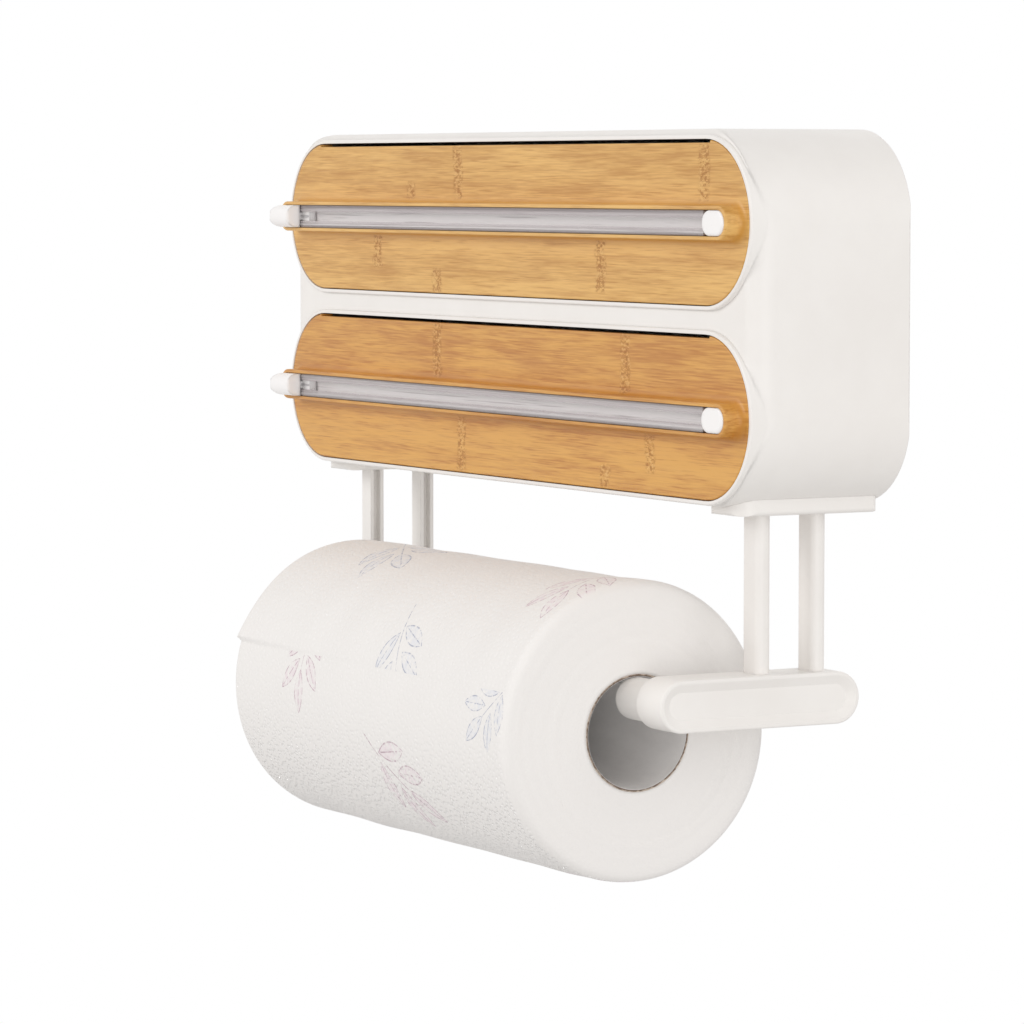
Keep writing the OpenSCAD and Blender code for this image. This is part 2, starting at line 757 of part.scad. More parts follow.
// A bar with rounded outer edges and a dish with sloped walls in its outer face.
module bar() {
    translate([0, -bar_back - bar_len / 2, bar_z]) {
        difference() {
            along_x(bar_in_x, bar_out_x) stadium(bar_len, bar_h);
            difference() {
                along_x(bar_out_x - dish_depth, bar_out_x + over) stadium(dish_len, dish_h);
                translate([bar_out_x - dish_depth, 0, 0]) rotate([0, 0, 90])
                    stadium_sweep(dish_len, dish_h) mirror([1, 0]) slope(dish_slope, dish_depth);
            }
            translate([bar_out_x, 0, 0]) rotate([0, 0, 90]) stadium_sweep(bar_len, bar_h) edge_cut(bar_edge);
        }
    }
}

// The right arm: plate, two posts, dished bar and a peg that ends at tip_x.
module arm(tip_x) {
    color(white) difference() {
        union() {
            plate();
            for (y = post_ys) translate([arm_x, y, bar_top - over])
                linear_extrude(post_len + 2 * over) post();
            bar();
            peg(tip_x);
        }
        slab(front_y, over) cabinet_outline(0);
        for (y = arm_screw_ys) translate([arm_screw_x, y, cabinet_bottom - arm_screw_deep])
            cylinder(r = pilot_r, h = arm_screw_deep + over, $fn = 32);
    }
}

module right_arm() {
    arm(peg_tip_x);
}

module left_arm() {
    mirror([1, 0, 0]) arm(-long_peg_tip_x);
}

module arm_screws() {
    color(steel) for (s = [-1, 1], y = arm_screw_ys)
        translate([s * arm_screw_x, y, cabinet_bottom + floor_wall]) rotate([90, 0, 0])
            screw(floor_wall + arm_screw_deep - thread_gap);
}

module towel_core() {
    color(board) translate([0, peg_y, towel_z])
        tube_x(towel_core_r + towel_core_wall, towel_core_r, towel_left, towel_right);
}

module towel_roll() {
    color(paper) translate([0, peg_y, towel_z])
        tube_x(towel_r, towel_core_r + towel_core_wall + thread_gap, towel_left, towel_right);
}

shell();
back_panel();
back_panel_screws();
upper() front_panel();  // upper_panel
upper() panel_screws();  // upper_panel_screws
upper() tray(film_z);  // upper_tray
upper() track();  // upper_track
upper() end_cap();  // upper_end_cap
upper() slider();  // upper_slider
upper() blade();  // upper_blade
place_film() wrap(film_r, film);  // film_roll
place_film() wrap_core();  // film_core
place_film() mirror([1, 0, 0]) hub();  // film_hub_left
place_film() hub();  // film_hub_right
lower() front_panel();  // lower_panel
lower() panel_screws();  // lower_panel_screws
lower() tray(foil_z);  // lower_tray
lower() track();  // lower_track
lower() end_cap();  // lower_end_cap
lower() slider();  // lower_slider
lower() blade();  // lower_blade
place_foil() wrap(foil_r, foil);  // foil_roll
place_foil() wrap_core();  // foil_core
place_foil() mirror([1, 0, 0]) hub();  // foil_hub_left
place_foil() hub();  // foil_hub_right
left_arm();
right_arm();
arm_screws();
towel_core();
towel_roll();
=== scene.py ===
# %% [markdown]
# # A wall-mounted wrap and foil dispenser
# The real object is a white moulded cabinet with two bamboo drawer fronts, a slide cutter on each
# front, and two arms that carry a paper towel roll. Its solids come ready made, as named nodes on
# moving bodies. This lesson gives each of them a finish, and makes the wound rolls afresh, because
# paper, film and foil are soft layers that a plain tube can't show.

# %% Load the solids
import functools
import json
import math
import bpy
import numpy as np
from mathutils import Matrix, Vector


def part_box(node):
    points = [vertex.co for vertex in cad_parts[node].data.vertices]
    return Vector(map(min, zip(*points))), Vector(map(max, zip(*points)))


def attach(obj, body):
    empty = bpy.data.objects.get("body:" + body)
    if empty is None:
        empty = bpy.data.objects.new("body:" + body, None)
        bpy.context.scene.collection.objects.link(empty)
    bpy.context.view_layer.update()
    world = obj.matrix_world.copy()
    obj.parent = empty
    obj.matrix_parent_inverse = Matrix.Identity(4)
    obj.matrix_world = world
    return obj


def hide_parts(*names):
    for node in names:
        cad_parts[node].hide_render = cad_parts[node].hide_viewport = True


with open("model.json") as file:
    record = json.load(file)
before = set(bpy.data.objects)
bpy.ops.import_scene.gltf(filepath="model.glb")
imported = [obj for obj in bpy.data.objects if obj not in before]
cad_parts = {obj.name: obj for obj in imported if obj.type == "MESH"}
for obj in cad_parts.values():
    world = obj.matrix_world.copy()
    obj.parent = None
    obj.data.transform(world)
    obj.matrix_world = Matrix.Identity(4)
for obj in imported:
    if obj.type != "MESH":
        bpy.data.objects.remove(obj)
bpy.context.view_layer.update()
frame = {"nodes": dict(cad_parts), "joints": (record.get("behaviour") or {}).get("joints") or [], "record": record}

nodes = frame["nodes"]
MM = 0.001

# %% [markdown]
# ## Camera
# The picture was taken with a long lens, a little above the middle of the cabinet, from the front
# right. A camera can be pushed about by eye, but numbers can be fitted. A camera that looks along +Y
# is turned about Z by the yaw and tipped by the pitch. The focal length is in pixels of a square
# frame, so the lens in millimetres follows from the sensor's width.

# %% Place the camera
CAMERA_AT = (1.4958, -0.8833, 0.0485)
CAMERA_YAW = 61.11
CAMERA_PITCH = -4.08
FOCAL_PX = 4720
FRAME_PX = 1024
SENSOR_MM = 36

camera = bpy.data.objects.new("camera", bpy.data.cameras.new("camera"))
bpy.context.scene.collection.objects.link(camera)
bpy.context.scene.camera = camera
camera.data.sensor_width = SENSOR_MM
camera.data.lens = FOCAL_PX / FRAME_PX * SENSOR_MM
camera.location = CAMERA_AT
camera.rotation_euler = (math.radians(90 + CAMERA_PITCH), 0, math.radians(CAMERA_YAW))
print("lens:", round(camera.data.lens, 1), "mm")

# %% [markdown]
# ## Shader maths as Python
# A finish is a small formula. It could be drawn by hand as nodes and links, but then the formula is
# hard to read. Wrapping a socket in a class with operators lets it be written as one: `1 - mask * 0.3`
# adds the two Math nodes by itself. Every other node comes from the one method `node`, which sets the
# node's own settings first and then its inputs.

# %% The wire class
BEVEL_RAYS = 6


def operator_pair(operation):
    """The two methods of an operator: a wire with a value, and a value with a wire."""
    def forward(self, other):
        return self.maths(operation, self, other)

    def reflected(self, other):
        return self.maths(operation, other, self)

    return forward, reflected


class Wire:
    """An output socket that can be added, multiplied and raised in plain expressions."""

    __add__, __radd__ = operator_pair("ADD")
    __sub__, __rsub__ = operator_pair("SUBTRACT")
    __mul__, __rmul__ = operator_pair("MULTIPLY")
    __truediv__, __rtruediv__ = operator_pair("DIVIDE")
    __pow__, __rpow__ = operator_pair("POWER")

    def __init__(self, socket):
        self.socket = socket

    def node(self, kind, settings=None, inputs=None, output=0):
        """Adds a node of a type to this wire's tree: settings, then inputs, then one output as a wire."""
        tree = self.socket.id_data
        made = tree.nodes.new(kind)
        for name, value in (settings or {}).items():
            setattr(made, name, value)
        for name, value in (inputs or {}).items():
            if isinstance(value, Wire):
                tree.links.new(value.socket, made.inputs[name])
            else:
                made.inputs[name].default_value = value
        return Wire(made.outputs[output])

    def maths(self, operation, *values):
        """One Math node on up to three values."""
        return self.node("ShaderNodeMath", {"operation": operation}, dict(enumerate(values)))

    def __abs__(self):
        return self.maths("ABSOLUTE", self)

    def floor(self):
        """The whole number below this value."""
        return self.maths("FLOOR", self)

    def fract(self):
        """What this value has above the whole number below it."""
        return self.maths("FRACT", self)

    def larger(self, other):
        """The larger of two values."""
        return self.maths("MAXIMUM", self, other)

    def step(self, low, high):
        """0 below low, 1 above high, smooth between. low may be the larger one."""
        return self.node("ShaderNodeMapRange", {"interpolation_type": "SMOOTHSTEP"},
                         {0: self, 1: low, 2: high, 3: 0.0, 4: 1.0})

    def scaled(self, x, y, z):
        """This vector with each axis stretched by its own number."""
        return self.node("ShaderNodeMapping", None, {0: self, 3: (x, y, z)})

    def noise(self, scale=1.0, detail=2.0, rough=0.5, distort=0.0):
        """Soft noise from 0 to 1, read at this vector."""
        return self.node("ShaderNodeTexNoise", None,
                         {"Vector": self, "Scale": scale, "Detail": detail, "Roughness": rough,
                          "Distortion": distort})

    def axes(self):
        """The X, Y and Z of this vector."""
        made = self.node("ShaderNodeSeparateXYZ", None, {0: self}).socket.node
        return [Wire(out) for out in made.outputs]

    def blend(self, low, high):
        """A colour that goes from low to high as this value goes from 0 to 1."""
        return self.node("ShaderNodeMix", {"data_type": "RGBA"}, {0: self, 6: low, 7: high}, 2)

    def bump(self, depth, strength=1.0, round_by=None):
        """A normal that reads this value as a height, depth metres from 0 to 1.

        With round_by, the normal starts from edges that are rounded by that radius.
        """
        inputs = {"Strength": strength, "Distance": depth, "Height": self}
        if round_by is not None:
            inputs["Normal"] = self.node("ShaderNodeBevel", {"samples": BEVEL_RAYS}, {"Radius": round_by})
        return self.node("ShaderNodeBump", None, inputs)


print("wire methods:", len([name for name in vars(Wire) if callable(getattr(Wire, name))]))


# %% Start and feed a finish
def new_finish(name, **fixed):
    """An empty material: its principled node, with fixed socket values set, and its object coordinates."""
    material = bpy.data.materials.new(name)
    material.use_nodes = True
    surface = material.node_tree.nodes["Principled BSDF"]
    for socket, value in fixed.items():
        surface.inputs[socket.replace("_", " ")].default_value = value
    return material, surface, Wire(surface.outputs[0]).node("ShaderNodeTexCoord", output="Object")


def feed(node, **wires):
    """Links wires to the sockets of a node that are named."""
    for socket, wire in wires.items():
        node.id_data.links.new(wire.socket, node.inputs[socket.replace("_", " ")])


def rgb(red, green, blue):
    """A colour in linear light, with full cover."""
    return (red, green, blue, 1.0)


print("white is", rgb(1, 1, 1))

# %% [markdown]
# ## Floor
# The picture has a white ground without an edge. A large plane would do, but its border would show
# from other sides. So the floor is a pale disc that fades out: near the object it keeps a shadow, and
# its rim mixes into a clear shader.

# %% Build the floor
FLOOR_Z = -0.45
FLOOR_R = 0.80
FLOOR_GREY = 0.72
FADE_FROM = 0.45


def disc_mesh(name, radius, height, rings=12, sides=96):
    """A flat disc: ring i and side j lie at radius i / rings and angle j / sides of a turn."""
    ring, side = np.meshgrid(np.arange(rings + 1) / rings, np.arange(sides) / sides, indexing="ij")
    turn = 2 * np.pi * side
    points = np.stack([radius * ring * np.cos(turn), radius * ring * np.sin(turn),
                       np.full(ring.shape, height)], -1)
    index = np.arange(ring.size).reshape(ring.shape)
    ahead = np.roll(index, -1, 1)
    quads = np.stack([index[:-1], index[1:], ahead[1:], ahead[:-1]], -1).reshape(-1, 4)
    mesh = bpy.data.meshes.new(name)
    mesh.from_pydata(points.reshape(-1, 3).tolist(), [], quads.tolist())
    made = bpy.data.objects.new(name, mesh)
    bpy.context.scene.collection.objects.link(made)
    return made


floor = disc_mesh("floor", FLOOR_R, FLOOR_Z)
floor_finish, surface, at = new_finish("floor_paint", Base_Color=rgb(*[FLOOR_GREY] * 3), Roughness=0.9)
across, deep = at.axes()[:2]
edge = ((across * across + deep * deep) ** 0.5).step(FADE_FROM * FLOOR_R, FLOOR_R)
clear = edge.node("ShaderNodeBsdfTransparent")
faded = edge.node("ShaderNodeMixShader", None, {0: edge, 1: Wire(surface.outputs[0]), 2: clear})
feed(floor_finish.node_tree.nodes["Material Output"], Surface=faded)
floor.data.materials.append(floor_finish)
print("floor:", len(floor.data.polygons), "faces at", FLOOR_Z, "m")

# %% [markdown]
# ## Light
# The picture has soft light from all round. The world gives most of it. Large lamps in front, at the
# right, low at the right front corner and behind add a soft direction, and the corner one reaches
# into the towel core. A white ground could come from more light, but that would bleach the object, so
# only the rays that see the ground directly find it white.

# %% Light the stage
WORLD_LIGHT = 0.64
WORLD_TINT = rgb(1.0, 0.985, 0.97)
GROUND_RAYS = ("Is Camera Ray", "Is Glossy Ray", "Is Transmission Ray")
AIM = np.array([0.0, -0.05, -0.05])
# Each softbox: name, place in metres, diameter in metres, watts.
SOFTBOXES = [
    ("front_box", (-0.9, -2.2, 0.9), 1.3, 19.5),
    ("side_box", (2.1, 0.4, 1.2), 1.6, 8.5),
    ("corner_box", (2.2, -1.0, -0.12), 1.4, 13),
    ("rear_box", (-1.2, 2.0, 0.8), 1.6, 10),
]

world = bpy.data.worlds.new("studio")
bpy.context.scene.world = world
world.use_nodes = True
light = world.node_tree.nodes["Background"]
light.inputs["Color"].default_value = WORLD_TINT
light.inputs["Strength"].default_value = WORLD_LIGHT
glow = Wire(light.outputs[0])
rays = [glow.node("ShaderNodeLightPath", output=ray) for ray in GROUND_RAYS]
direct = functools.reduce(Wire.larger, rays)
white_ground = glow.node("ShaderNodeBackground", None, {"Color": rgb(1, 1, 1), "Strength": 1.0})
sky = glow.node("ShaderNodeMixShader", None, {0: direct, 1: glow, 2: white_ground})
feed(world.node_tree.nodes["World Output"], Surface=sky)

for name, place, size, watts in SOFTBOXES:
    lamp = bpy.data.objects.new(name, bpy.data.lights.new(name, "AREA"))
    bpy.context.scene.collection.objects.link(lamp)
    lamp.data.shape = "DISK"
    lamp.data.size = size
    lamp.data.energy = watts
    lamp.location = place
    x, y, z = AIM - np.array(place)
    lamp.rotation_euler = (math.atan2(math.hypot(x, y), -z), 0, math.atan2(-x, y))
bpy.context.scene.view_settings.view_transform = "Standard"
print("lamps:", len(SOFTBOXES), "watts:", sum(box[3] for box in SOFTBOXES))

# %% [markdown]
# ## White plastic
# The cabinet, arms, sliders, caps, trays and hubs are moulded in a warm white plastic with a satin
# skin. A mould leaves a very fine grain and faint drifts of tone. Both come from noise on the
# object's own coordinates, so the grain has the same size on every piece. The small cutter parts are
# moulded apart, in a whiter and glossier plastic, so one function makes all the whites.
#
# No moulded edge is sharp. A real rounding would need another mesh, so the shading rounds the edges
# instead: a Bevel node averages the normals within a radius. The cabinet's side flows softly out of
# the rims of the bays, so the radius is wider on a band just behind them.

# %% Mould the white finish
SHELL_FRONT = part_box("shell")[0].y
# Depths behind the front between which the band starts, and between which it ends.
RIM_ENDS_MM = (1.2, 2.8)
SIDE_ENDS_MM = (20, 12)
GRAIN_MM = 0.04


def behind_rims(at):
    """1 on the band of the shell just behind the rims of the bays, from its depth behind the front."""
    inset = (at.axes()[1] - SHELL_FRONT) / MM
    return inset.step(*RIM_ENDS_MM) * inset.step(*SIDE_ENDS_MM)


def white_finish(name, tones, gloss, edge_mm, side_edge_mm=0.0):
    """Moulded plastic whose tone drifts between two colours. gloss is the mean roughness.

    The shading rounds each edge by edge_mm, and by side_edge_mm more behind the rims of the bays.
    """
    material, surface, at = new_finish(name, IOR=1.46, Specular_IOR_Level=0.42)
    drift = at.noise(scale=14, detail=3)
    grain = at.noise(scale=1700, detail=2)
    cloud = at.noise(scale=90, detail=4)
    radius = edge_mm * MM
    if side_edge_mm:
        radius = behind_rims(at) * (side_edge_mm * MM) + radius
    low, high = tones
    feed(surface,
         Base_Color=(drift * 0.7 + cloud * 0.3).step(0.3, 0.7).blend(rgb(*low), rgb(*high)),
         Roughness=gloss + (cloud - 0.5) * 0.12 + (grain - 0.5) * 0.08,
         Normal=grain.bump(GRAIN_MM * MM, 0.35, radius))
    return material


WARM_TONES = ((0.845, 0.815, 0.785), (0.885, 0.86, 0.832))
CUTTER_TONES = ((0.92, 0.9, 0.893), (0.945, 0.926, 0.921))
warm_white = white_finish("white_plastic", WARM_TONES, 0.4, edge_mm=0.3)
shell_white = white_finish("shell_plastic", WARM_TONES, 0.4, edge_mm=0.3, side_edge_mm=3.5)
cutter_white = white_finish("cutter_plastic", CUTTER_TONES, 0.3, edge_mm=1.8)
print("white finishes:", warm_white.name, shell_white.name, cutter_white.name)

# %% [markdown]
# ## Bamboo grain
# The fronts are laminated from bamboo strips. Long fibres run along X, and each strip has its own
# tone. A picture of wood would show its borders and its repeats. Noise that is stretched along X
# gives fibres of their real width anywhere on a panel, and steps across Z give the strips.

# %% Grow the grain
STRIP_MM = 10.5
STRIP_BEND_MM = 1.2
STRIP_DRAW = 3.7
# Waves per metre along X, Y and Z of each layer of the grain.
FIBRES, STREAKS, DASHES = (24, 100, 640), (75, 300, 1700), (60, 300, 1900)
PORES, PATCHES = (75, 300, 2600), (20, 40, 180)


def bamboo_grain(at):
    """Fibres, pores and the tone: a weighted sum of noises and strip tones, less thin dark dashes."""
    bend = (at.noise(scale=9, detail=1) - 0.5) * (STRIP_BEND_MM * MM)
    strip = ((at.axes()[2] + bend) / (STRIP_MM * MM)).floor()
    strip_tone = strip.node("ShaderNodeTexWhiteNoise", {"noise_dimensions": "1D"},
                            {"W": strip + STRIP_DRAW})
    fibre = at.scaled(*FIBRES).noise(detail=5, rough=0.6, distort=0.25)
    streak = at.scaled(*STREAKS).noise(rough=0.6)
    dash = at.scaled(*DASHES).noise(detail=1).step(0.56, 0.74)
    pore = at.scaled(*PORES).noise(rough=0.6)
    patch = at.scaled(*PATCHES).noise()
    tone = fibre * 0.42 + streak * 0.4 + patch * 0.42 + pore * 0.12 + (strip_tone - 0.5) * 0.1 - dash * 0.14
    return fibre, pore, tone


print("grain layers:", len([FIBRES, STREAKS, DASHES, PORES, PATCHES]))

# %% [markdown]
# ## Painted root shade and cane joints
# A rib is carved along each front to hold the cutter's track, and the hollow at its root is painted
# a deeper tone: painted shade in the cove, and a painted shadow a little stronger below the rib. Where
# the cane had a joint, a short speckled bar crosses the strip. Both could be painted on an image, but
# they are plain shapes: the painted shade follows a distance to the rib's centre line, and each joint is
# a soft band at its own place, broken up by fine noise.

# %% Shade the roots and joints
RIB_WALL_MM = 1.4
RIB_HALF = (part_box("upper_track")[1].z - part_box("upper_track")[0].z) / 2 + RIB_WALL_MM * MM
RIB_SPAN_MM = 161.1
# The painted shade round the rib's root: its reach, the distance in front of the shell within which it is full,
# its strength, and the painted shadow added below the rib.
ROOT_SHADE_MM = 2.6
ROOT_SHADE_FACE_MM = 0.8
ROOT_SHADE_STRENGTH, SHADOW_MORE_BELOW = 0.66, 0.1
JOINT_MM = 4.4
WOBBLE_MM = 4.5
# Each joint bar: place along X, lower and upper edge along Z, in millimetres.
JOINT_BARS = [
    (-33, 40, 60), (-70, 40, 46), (-97, 14, 26), (-49, 5, 14), (72, 8, 26), (141, 40, 59),
    (-49, -26, -6), (89, -27, -6), (-30, -60, -40), (106, -53, -40), (75, -60, -52),
]


def painted_root_shade(at, centre):
    """A mask in the hollow round a rib, a little stronger below it.

    The mask paints shade. Its distance is that to the rib's centre line, which ends at RIB_SPAN_MM, less
    half the rib's height. The painted shade falls off over its reach of that distance and over as much in
    front of the panel, and a painted shadow adds a little more below the rib.
    """
    along, deep, up = at.axes()
    above = up - centre
    past = (abs(along) - RIB_SPAN_MM * MM).larger(0.0)
    away = (past * past + above ** 2.0) ** 0.5 - RIB_HALF
    hollow = away.step(ROOT_SHADE_MM * MM, 0.2 * ROOT_SHADE_MM * MM)
    low_down = (deep - SHELL_FRONT).step(-ROOT_SHADE_MM * MM, -ROOT_SHADE_FACE_MM * MM)
    return hollow * low_down * (above.step(MM, -MM) * SHADOW_MORE_BELOW + ROOT_SHADE_STRENGTH)


def cane_joints(at):
    """Dark and pale masks of the joint bars: bands across X with wavy sides, times fine specks."""
    along, deep, up = at.axes()
    place = along + (at.scaled(60, 260, 260).noise() - 0.5) * (WOBBLE_MM * MM)
    bars = []
    for x, low, high in JOINT_BARS:
        inside = up.step((low - 1) * MM, (low + 1) * MM) * up.step((high + 1) * MM, (high - 1) * MM)
        bars.append(abs(place - x * MM).step(JOINT_MM * MM, 0.5 * JOINT_MM * MM) * inside)
    bar = functools.reduce(Wire.larger, bars)
    speck = at.scaled(620, 1000, 1150).noise(detail=3, rough=0.7)
    return bar * (speck.step(0.52, 0.40) * 0.66 + 0.10), bar * speck.step(0.54, 0.62) * 0.5


print("joint bars:", len(JOINT_BARS), "half rib:", round(RIB_HALF / MM, 2), "mm")

# %% [markdown]
# ## Lacquered fronts
# Both fronts are the same wood, but the lower one is warmer and darker, and towards its top it carries a
# painted shade, where the upper drawer shades it. Two finishes could be made by hand, but they would
# drift apart. One function takes the tones and the slope of that painted shade, so the two fronts share
# their grain and still differ.

# %% Saw the fronts
GRAIN_RANGE = (0.448, 0.848)
JOINT_DARK, JOINT_PALE = rgb(0.34, 0.125, 0.012), rgb(0.80, 0.52, 0.19)
PORE_MM = 0.12


def bamboo_finish(name, panel, deep_tone, pale_tone, root_shade_tone, shade_slope):
    """Lacquered bamboo for a panel. slope is what the tone loses per metre above the panel's middle."""
    material, surface, at = new_finish(name, Coat_Weight=0.12, Coat_Roughness=0.35)
    centre = (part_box(panel)[0].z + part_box(panel)[1].z) / 2
    fibre, pore, tone = bamboo_grain(at)
    # Painted shade: the tone falls towards the top of the panel, as the upper drawer shades the lower front.
    tone = tone - (at.axes()[2] - centre) * shade_slope
    wood = tone.step(*GRAIN_RANGE).blend(rgb(*deep_tone), rgb(*pale_tone))
    # Painted shade in the hollow at the rib's root, a little stronger below it as a painted shadow.
    wood = painted_root_shade(at, centre).blend(wood, rgb(*root_shade_tone))
    dark, pale = cane_joints(at)
    feed(surface,
         Base_Color=pale.blend(dark.blend(wood, JOINT_DARK), JOINT_PALE),
         Roughness=0.46 + (fibre - 0.5) * 0.25 + dark * 0.15,
         Normal=(fibre * 0.5 + pore * 0.5 - dark * 0.2).bump(PORE_MM * MM, 0.5))
    return material


# The third tone of each front is the painted shade at its rib's root.
upper_bamboo = bamboo_finish("bamboo_upper", "upper_panel", (0.525, 0.255, 0.05), (0.785, 0.468, 0.143),
                             (0.57, 0.245, 0.008), shade_slope=0.0)
# The lower front's slope is a painted shade that darkens it towards its top.
lower_bamboo = bamboo_finish("bamboo_lower", "lower_panel", (0.475, 0.185, 0.025), (0.725, 0.38, 0.083),
                             (0.53, 0.205, 0.008), shade_slope=3.2)
print("fronts:", upper_bamboo.name, lower_bamboo.name)

# %% [markdown]
# ## Clear tracks
# A cutter's track is an extruded clear channel. Its lips are see-through, and the channel behind them is
# painted pale as painted light in its shade. The borders are painted dark brown, as painted shade in the
# gap and the wood seen through the plastic. True glass would need many bounces and bakes badly, so the
# lips let the groove show by Alpha. Light runs along an extrusion in streaks, so painted streaks of light
# change the tone mostly across Z, with thin dark dashes along X, and a painted glint runs along the lower lip.

# %% Extrude the clear finish
# The pale tone is painted light for the streaks, the glint and the shaded channel, and the border tone is painted
# shade with the wood seen through.
TRACK_LILAC, TRACK_PAINTED_LIGHT = rgb(0.43, 0.375, 0.385), rgb(0.90, 0.86, 0.855)
TRACK_BORDER_SHADE = rgb(0.13, 0.075, 0.045)
PAINTED_GLINT_AT = 0.74
LIP_COVER = 0.55
CHANNEL_FROM, CHANNEL_FULL = 0.35, 0.55
BORDER_FROM, BORDER_FULL = 0.87, 0.95


def track_finish(name, track):
    """Clear plastic for a track. Height runs from -1 to 1 over the track's box, and the channel is the
    part that lies more than about half its depth behind the front."""
    material, surface, at = new_finish(name, IOR=1.45, Coat_Weight=0.4, Coat_Roughness=0.12)
    low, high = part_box(track)
    depth = high.y - low.y
    along, deep, up = at.axes()
    height = (up - (low.z + high.z) / 2) / ((high.z - low.z) / 2)
    drift = (at.scaled(9, 0, 0).noise() - 0.5) * 0.16
    streak = at.scaled(1.5, 700, 1100).noise(detail=3, rough=0.55)
    dash = at.scaled(18, 700, 1150).noise().step(0.57, 0.70)
    channel = (deep - low.y).step(CHANNEL_FROM * depth, CHANNEL_FULL * depth)
    # A painted highlight along the lower lip, and the painted dark border.
    painted_glint = abs(height + drift + PAINTED_GLINT_AT).step(0.12, 0.03)
    border = abs(height).step(BORDER_FROM, BORDER_FULL)
    # Painted light: streaks and the glint lighten the tone, the shaded channel is painted pale, and dashes darken
    # it.
    tone = (streak.step(0.25, 0.75) * 0.6 + painted_glint * 0.6).larger(channel) * (1 - dash * 0.6)
    feed(surface,
         Base_Color=(border * 0.85).blend(tone.blend(TRACK_LILAC, TRACK_PAINTED_LIGHT), TRACK_BORDER_SHADE),
         Alpha=channel.larger(border) * (1 - LIP_COVER) + LIP_COVER,
         Roughness=0.16 + streak * 0.16,
         Normal=streak.bump(0.1 * MM, 0.35))
    return material


track_finishes = {track: track_finish(track + "_clear", track) for track in ("upper_track", "lower_track")}
print("tracks:", list(track_finishes))

# %% [markdown]
# ## Steel
# The cutter blades and the screws are plain bright steel with fine marks from grinding. Such marks
# are too fine to model, so noise that is drawn out along X tints the metal, roughens it and dents it.

# %% Grind the steel finish
steel_finish, surface, at = new_finish("bright_steel", Metallic=1.0)
scratch = at.scaled(300, 2500, 2500).noise(detail=3)
feed(surface,
     Base_Color=scratch.blend(rgb(0.52, 0.52, 0.53), rgb(0.70, 0.70, 0.71)),
     Roughness=0.26 + scratch * 0.2,
     Normal=scratch.bump(0.04 * MM, 0.4))
print("steel:", steel_finish.name)

# %% [markdown]
# ## Board cores
# The cores are board, wound in a spiral, with a paler liner inside and a cut edge that frays to a
# dark, uneven line. The solid is a plain tube, so the finish works in the tube's own radius and turn
# about its axis: the liner is where the radius is smallest, and the seam is a helix.

# %% Wind the board finish
SPIRAL_MM = 900
SEAM_TURN = 0.29
LINER_MM = (0.08, 0.03)
FRAY_MM = (0.65, 0.3)
NICK_MM = 1.6
LINER = np.array([0.97, 0.95, 0.935])
SEAM_TONE, FRAY_TONE = rgb(0.34, 0.30, 0.28), rgb(0.13, 0.085, 0.06)
# Each core: the joint it turns on, its wall in millimetres, the tone of its board.
CORES = {
    "towel_core": ("towel_spin", 0.8, (0.66, 0.56, 0.47)),
    "film_core": ("film_spin", 1.0, (0.60, 0.47, 0.34)),
    "foil_core": ("foil_spin", 1.0, (0.60, 0.47, 0.34)),
}


def axis_of(joint):
    """Y and Z of a joint's axis in the frame."""
    found = [j for j in frame["joints"] if j["name"] == joint][0]
    return found["pos_m"][1], found["pos_m"][2]


def board_finish(core, joint, wall_mm, board):
    """Spiral board round a joint's axis: liner on the bore, a frayed line next to it, board elsewhere.

    The seam is where the turn, plus X over SPIRAL_MM, plus SEAM_TURN, passes a half.
    """
    material, surface, at = new_finish(core + "_board", Roughness=0.85)
    low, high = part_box(core)
    bore = (high.z - low.z) / 2 - wall_mm * MM
    along, deep, up = at.axes()
    y, z = deep - axis_of(joint)[0], up - axis_of(joint)[1]
    radius = (y * y + z * z) ** 0.5
    helix = z.maths("ARCTAN2", z, y) / (2 * math.pi) + along / (SPIRAL_MM * MM) + SEAM_TURN
    seam = abs(helix.fract() - 0.5).step(0.008, 0.002)
    fibre = at.scaled(500, 900, 900).noise(detail=4, rough=0.65)
    nick = at.scaled(200, 420, 420).noise(rough=0.6)
    smudge = at.scaled(28, 90, 90).noise(detail=3)
    inside = radius.step(*[bore + out * MM for out in LINER_MM])
    frayed = (radius + (nick - 0.5) * (NICK_MM * MM)).step(*[bore + out * MM for out in FRAY_MM])
    cut = frayed.blend(fibre.blend(rgb(*np.multiply(board, 0.65)), rgb(*board)), FRAY_TONE)
    paper = (fibre * 0.5 + smudge.step(0.3, 0.6) * 0.5).blend(rgb(*LINER * 0.86), rgb(*LINER))
    feed(surface,
         Base_Color=(seam * 0.45).blend(inside.blend(cut, paper), SEAM_TONE),
         Normal=(fibre * 0.5 - seam * 0.5).bump(0.15 * MM, 0.5))
    return material


board_finishes = {core: board_finish(core, *facts) for core, facts in CORES.items()}
print("cores:", list(board_finishes))

# %% [markdown]
# ## Wound rolls
# Paper, film and foil are wound as one long spiral, so a roll's radius grows by one layer in each
# turn and drops by one layer at the loose edge. A cylinder with a step cut in would look machined.
# Instead, a profile runs from the bore over one face, along the outside and down the other face, and
# is carried round the axis. Both directions close, so the mesh is watertight, and slow waves keep the
# turns uneven.

# %% Profile and waves
CORNER_STEPS = 6


def waves(u, v, count, lowest, highest, seed):
    """A sum of count cosines over two parameters, with seeded slopes and phases, scaled to about 1."""
    draw = np.random.default_rng(seed)
    slope_u = draw.integers(lowest, highest, count)
    slope_v = draw.uniform(lowest, highest, count)
    phase = draw.uniform(0, 2 * np.pi, count)
    total = np.cos(u[..., None] * slope_u + v[..., None] * slope_v + phase)
    return total.sum(-1) / math.sqrt(count)


